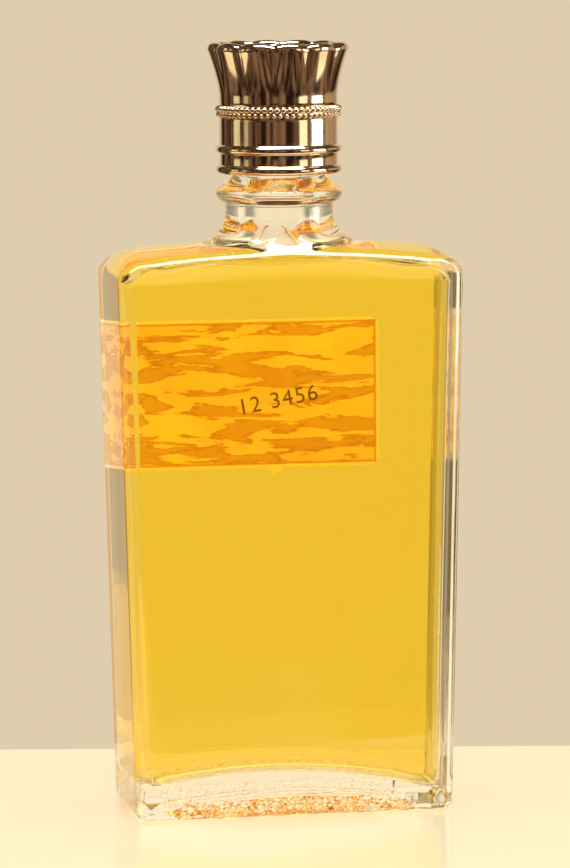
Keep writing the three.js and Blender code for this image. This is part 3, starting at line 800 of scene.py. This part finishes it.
# The label lamp lights the label and its stamp alone. Only the plinth shades it and the table lamp, because
# neither could otherwise reach through the glass and the dyed liquid.
lit_by_it = bpy.data.collections.new("lit_by_label_lamp")
lit_by_it.objects.link(label)
lit_by_it.objects.link(stamp)
label_lamp.light_linking.receiver_collection = lit_by_it
opaque = bpy.data.collections.new("shading_label_lamp")
opaque.objects.link(plinth)
label_lamp.light_linking.blocker_collection = opaque
table_lamp.light_linking.blocker_collection = opaque


# Cap shell: thin aluminium drawn to a cup, its mouth rolled into two rings, a double row of beads knurled
# round it and its closed end flared into twelve petals, then polished and anodised pale gold.
CAP_BASE = 124.3
CAP_TOP = 149.7
WALL = 11.6
RIM = 13.9
SHEET = 0.4
LOWER_RING = 0.85
UPPER_RING = 4.75
RING_HALF_WIDTH = 0.8
RING_HALF_HEIGHT = 0.85
BAND_LOW = 11.0
BAND_HIGH = 13.1
BAND_DEPTH = 0.08
FLARE_START = 139.2
FLARE_RISE = 9.2
FLARE_STEPS = 20
PETALS = 12
PETAL_DEPTH = 0.75
PETAL_DIP = 0.4
NOTCH_ANGLE = math.radians(-105)
SPIN_STEPS = PETALS * 18
BEADS = 60
BEAD_CIRCLE = WALL + 0.1
BEAD_ROWS = ((0.6, 12.5, 0.0), (0.47, 11.45, 0.5))


def spun(name, profile, steps=72):
    """A closed turned piece: a profile of (radius, height) in millimetres, spun round the axis."""
    mesh = bpy.data.meshes.new(name)
    closed = profile[0] == profile[-1]
    points = profile[:-1] if closed else profile
    edges = [(i, (i + 1) % len(points)) for i in range(len(points) if closed else len(points) - 1)]
    mesh.from_pydata([(r * MM, 0, z * MM) for r, z in points], edges, [])
    piece = bpy.data.objects.new(name, mesh)
    scene.collection.objects.link(piece)
    select_only(piece)
    bpy.ops.object.mode_set(mode="EDIT")
    bpy.ops.mesh.select_all(action="SELECT")
    bpy.ops.mesh.spin(steps=steps, angle=2 * math.pi, center=(0, 0, 0), axis=(0, 0, 1))
    bpy.ops.mesh.select_all(action="SELECT")
    bpy.ops.mesh.remove_doubles(threshold=1e-7)
    bpy.ops.mesh.normals_make_consistent(inside=False)
    bpy.ops.object.mode_set(mode="OBJECT")
    piece.data.shade_smooth()
    return piece


def arc(centre_r, centre_z, radius_r, radius_z, start, end, count):
    """Points of an elliptical arc of the profile, angles in degrees from outwards to upwards."""
    angles = [math.radians(start + (end - start) * k / count) for k in range(count + 1)]
    return [(centre_r + radius_r * math.cos(a), centre_z + radius_z * math.sin(a)) for a in angles]


def share_between(value, low, high):
    """0 up to low, 1 from high on, and straight between them."""
    return min(1.0, max(0.0, (value - low) / (high - low)))


def flare(z):
    """Radius of the shell at a height, opening out like a trumpet towards the top."""
    return WALL + (RIM + 0.1 - WALL) * share_between(z, FLARE_START, CAP_TOP - 1.1) ** 1.45


foot = [(WALL - 0.35, CAP_BASE + 0.1), (WALL - 0.1, CAP_BASE)]
profile = list(foot)
for middle, start, wall_points in ((LOWER_RING, -80, (1.82, 2.6, 3.83)),
                                   (UPPER_RING, -85, (5.7, 6.5, 10.2, BAND_LOW - 0.1))):
    profile += arc(WALL - 0.05, CAP_BASE + middle, RING_HALF_WIDTH, RING_HALF_HEIGHT, start, 85, 10)
    profile += [(WALL, CAP_BASE + rise) for rise in wall_points]
profile += [(WALL - BAND_DEPTH, CAP_BASE + BAND_LOW), (WALL - BAND_DEPTH, CAP_BASE + BAND_HIGH)]
profile += [(WALL, CAP_BASE + BAND_HIGH + 0.1), (flare(138.3), 138.3)]
for k in range(FLARE_STEPS + 1):
    z = FLARE_START + FLARE_RISE * k / FLARE_STEPS
    profile.append((flare(z), z))
profile += arc(RIM - 1.15, CAP_TOP - 1.05, 1.1, 1.05, 5, 175, 14)
profile += [(RIM - 2.5, CAP_TOP - 1.1), (RIM - 3.2, CAP_TOP - 1.2), (6.0, CAP_TOP - 0.9)]
profile += [(2.0, CAP_TOP - 0.8), (0.0, CAP_TOP - 0.8), (0.0, CAP_TOP - 1.2), (2.0, CAP_TOP - 1.2)]
profile += [(RIM - 3.2, CAP_TOP - 1.6)]
profile += [(flare(z) - SHEET, z) for z in (147.6, 145.0, 142.0, 139.6)]
profile += [(WALL - SHEET, 137.0), (WALL - SHEET, CAP_BASE + 0.3), foot[0]]
shell = spun("cap_shell_gold", profile, SPIN_STEPS)

for vertex in shell.data.vertices:
    x, y, z = vertex.co / MM
    radius = math.hypot(x, y)
    rise = share_between(z, FLARE_START - 1, CAP_TOP)
    if rise > 0 and radius > 1:
        notch = 1 - abs(math.sin(PETALS / 2 * (math.atan2(y, x) - NOTCH_ANGLE))) ** 0.75
        drawn_in = PETAL_DEPTH * rise ** 1.6 * notch * share_between(radius, 8.5, 11.5)
        at_rim = share_between(z, CAP_TOP - 2.6, CAP_TOP) * share_between(radius, 11.0, 12.5)
        dip = PETAL_DIP * notch * at_rim
        scale = (radius - drawn_in) / radius
        vertex.co = Vector((x * scale, y * scale, z - dip)) * MM

beads = bmesh.new()
for k in range(BEADS):
    for size, rise, phase in BEAD_ROWS:
        angle = 2 * math.pi * (k + phase) / BEADS
        where = Vector((BEAD_CIRCLE * math.cos(angle), BEAD_CIRCLE * math.sin(angle), CAP_BASE + rise)) * MM
        bmesh.ops.create_uvsphere(beads, u_segments=12, v_segments=8, radius=size * MM,
                                  matrix=Matrix.Translation(where))
for face in beads.faces:
    face.smooth = True
bead_data = bpy.data.meshes.new("cap_beads")
beads.to_mesh(bead_data)
beads.free()
bead_row = bpy.data.objects.new("cap_beads", bead_data)
scene.collection.objects.link(bead_row)
select_only(shell)
bead_row.select_set(True)
bpy.ops.object.join()

# Gold-anodised aluminium, buffed before the dye: a pale warm mirror, very slightly blurred by smears.
SMEAR = 3.846
gold, tree, output = new_material("polished_gold_anodised_aluminium")
place = add_node(tree, "ShaderNodeTexCoord").outputs["Object"]
smear = add_node(tree, "ShaderNodeTexNoise", Vector=place, Scale=1000 / SMEAR, Detail=4.0)
sheen = add_node(tree, "ShaderNodeMapRange", Value=smear.outputs["Fac"], From_Min=0.3, From_Max=0.7,
                 To_Min=0.08, To_Max=0.13)
tone = add_node(tree, "ShaderNodeMix", COLOUR_MIX, i0=smear.outputs["Fac"], i6=linear("#F2E2C6"),
                i7=linear("#E9D5B4"))
metal = add_node(tree, "ShaderNodeBsdfPrincipled", Base_Color=tone.outputs[2], Metallic=1.0,
                 Roughness=sheen.outputs[0])
tree.links.new(metal.outputs[0], output.inputs[0])
shell.data.materials.append(gold)
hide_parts("cap_shell")
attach(shell, "cap")


# Screw insert: a black polypropylene cup moulded with one and a half turns of thread inside, and pressed
# into the metal shell, which hides all of it but its lower rim.
INSERT_LOW = CAP_BASE + 0.6
INSERT_ROOF = 138.65
INSERT_TOP = 139.65
INSERT_OUTER = 11.1
INSERT_BORE = 10.0
INSERT_STEPS = 52
insert_outside = [
    (0.4, INSERT_TOP), (6.0, INSERT_TOP), (10.3, INSERT_TOP), (10.8, INSERT_TOP - 0.2),
    (INSERT_OUTER, INSERT_TOP - 0.6), (INSERT_OUTER, 136.0), (INSERT_OUTER, 130.0),
    (INSERT_OUTER, INSERT_LOW + 0.3), (INSERT_OUTER - 0.15, INSERT_LOW + 0.06),
    (INSERT_OUTER - 0.4, INSERT_LOW), (INSERT_BORE + 0.3, INSERT_LOW),
    (INSERT_BORE + 0.08, INSERT_LOW + 0.08), (INSERT_BORE, INSERT_LOW + 0.3)]
insert_roof = [(INSERT_BORE, INSERT_ROOF - 0.2), (INSERT_BORE - 0.2, INSERT_ROOF), (5.0, INSERT_ROOF),
               (0.4, INSERT_ROOF)]
rings = [circle_ring(radius, z) for radius, z in insert_outside]
for k in range(1, INSERT_STEPS):
    z = INSERT_LOW + 0.3 + (INSERT_ROOF - 0.6 - INSERT_LOW) * k / INSERT_STEPS
    rings.append(threaded_ring(INSERT_BORE, z, -1, THREAD_PITCH / 2))
rings += [circle_ring(radius, z) for radius, z in insert_roof]
insert = loft("cap_screw_insert_threaded", rings)

# Polypropylene with carbon black, injection moulded in a lightly eroded tool: nearly black, half matt.
GRAIN = 1.111
moulding, tree, output = new_material("moulded_black_polypropylene")
place = add_node(tree, "ShaderNodeTexCoord").outputs["Object"]
grain = add_node(tree, "ShaderNodeTexNoise", Vector=place, Scale=1000 / GRAIN, Detail=3.0)
dulling = add_node(tree, "ShaderNodeMapRange", Value=grain.outputs["Fac"], To_Min=0.32, To_Max=0.5)
shade = add_node(tree, "ShaderNodeMix", COLOUR_MIX, i0=grain.outputs["Fac"], i6=linear("#141313"),
                 i7=linear("#201E1D"))
skin = add_node(tree, "ShaderNodeBump", Height=grain.outputs["Fac"], Strength=0.2, Distance=0.05 * MM)
plastic = add_node(tree, "ShaderNodeBsdfPrincipled", Base_Color=shade.outputs[2],
                   Roughness=dulling.outputs[0], IOR=1.49, Normal=skin.outputs[0])
tree.links.new(plastic.outputs[0], output.inputs[0])
insert.data.materials.append(moulding)
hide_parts("cap_screw_insert")
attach(insert, "cap")


# Liner: a disc of white polyethylene foam, die-cut from sheet and held under the roof of the insert. A
# shallow ring is pressed into its underside where it seals.
LINER_LOW = 137.6
LINER_HIGH = 138.6
LINER_RADIUS = 9.8
liner = spun("cap_liner_disc", [
    (0.0, LINER_LOW), (5.9, LINER_LOW), (6.2, LINER_LOW + 0.06), (7.2, LINER_LOW + 0.06), (7.5, LINER_LOW),
    (LINER_RADIUS - 0.1, LINER_LOW), (LINER_RADIUS, LINER_LOW + 0.1), (LINER_RADIUS, LINER_HIGH - 0.1),
    (LINER_RADIUS - 0.1, LINER_HIGH), (0.0, LINER_HIGH)])

# Expanded polyethylene foam with a cut skin: off-white and matt, pitted all over by its small cells.
FOAM_CELL = 0.4
foam, tree, output = new_material("expanded_polyethylene_foam")
place = add_node(tree, "ShaderNodeTexCoord").outputs["Object"]
cells = add_node(tree, "ShaderNodeTexVoronoi", Vector=place, Scale=1000 / FOAM_CELL)
tone = add_node(tree, "ShaderNodeMix", COLOUR_MIX, i0=cells.outputs["Distance"], i6=linear("#EFECE4"),
                i7=linear("#DAD5C8"))
pitted = add_node(tree, "ShaderNodeBump", Height=cells.outputs["Distance"], Strength=0.4, Distance=0.1 * MM)
soft = add_node(tree, "ShaderNodeBsdfPrincipled", Base_Color=tone.outputs[2], Roughness=0.75,
                Normal=pitted.outputs[0])
tree.links.new(soft.outputs[0], output.inputs[0])
liner.data.materials.append(foam)
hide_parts("cap_liner")
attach(liner, "liner")


# Sprinkler plug: a natural low-density polyethylene cup, injection moulded and pressed into the bore, with a
# small hole in its floor and a flange that seats on the lip of the glass.
PLUG_LOW = 129.55
PLUG_SEAT = 136.55
PLUG_TOP = 137.55
PLUG_OUTER = 5.2
PLUG_INNER = 4.3
PLUG_FLANGE = 7.6
PLUG_HOLE = 1.5
plug = spun("sprinkler_plug_moulded", [
    (PLUG_HOLE, PLUG_LOW), (PLUG_OUTER - 0.4, PLUG_LOW), (PLUG_OUTER, PLUG_LOW + 0.8),
    (PLUG_OUTER, PLUG_SEAT), (PLUG_FLANGE - 0.15, PLUG_SEAT), (PLUG_FLANGE, PLUG_SEAT + 0.15),
    (PLUG_FLANGE, PLUG_TOP - 0.3), (PLUG_FLANGE - 0.3, PLUG_TOP), (PLUG_INNER + 0.4, PLUG_TOP),
    (PLUG_INNER, PLUG_TOP - 0.4),
    (PLUG_INNER, PLUG_LOW + 1.3), (PLUG_INNER - 0.4, PLUG_LOW + 0.9), (PLUG_HOLE + 0.1, PLUG_LOW + 0.9),
    (PLUG_HOLE, PLUG_LOW + 0.8), (PLUG_HOLE, PLUG_LOW)])

# Natural polyethylene, undyed: milky and waxy, with light soaking a little way in.
CLOUDING = 2.5
natural, tree, output = new_material("moulded_natural_polyethylene")
place = add_node(tree, "ShaderNodeTexCoord").outputs["Object"]
cloudy = add_node(tree, "ShaderNodeTexNoise", Vector=place, Scale=1000 / CLOUDING, Detail=2.0)
tone = add_node(tree, "ShaderNodeMix", COLOUR_MIX, i0=cloudy.outputs["Fac"], i6=linear("#E9E6DC"),
                i7=linear("#F4F2EA"))
waxy = add_node(tree, "ShaderNodeMapRange", Value=cloudy.outputs["Fac"], To_Min=0.28, To_Max=0.42)
polyethylene = add_node(tree, "ShaderNodeBsdfPrincipled", Base_Color=tone.outputs[2],
                        Roughness=waxy.outputs[0], IOR=1.51, Subsurface_Weight=0.3, Subsurface_Scale=2 * MM)
tree.links.new(polyethylene.outputs[0], output.inputs[0])
plug.data.materials.append(natural)
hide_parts("sprinkler_plug")
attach(plug, "bottle")
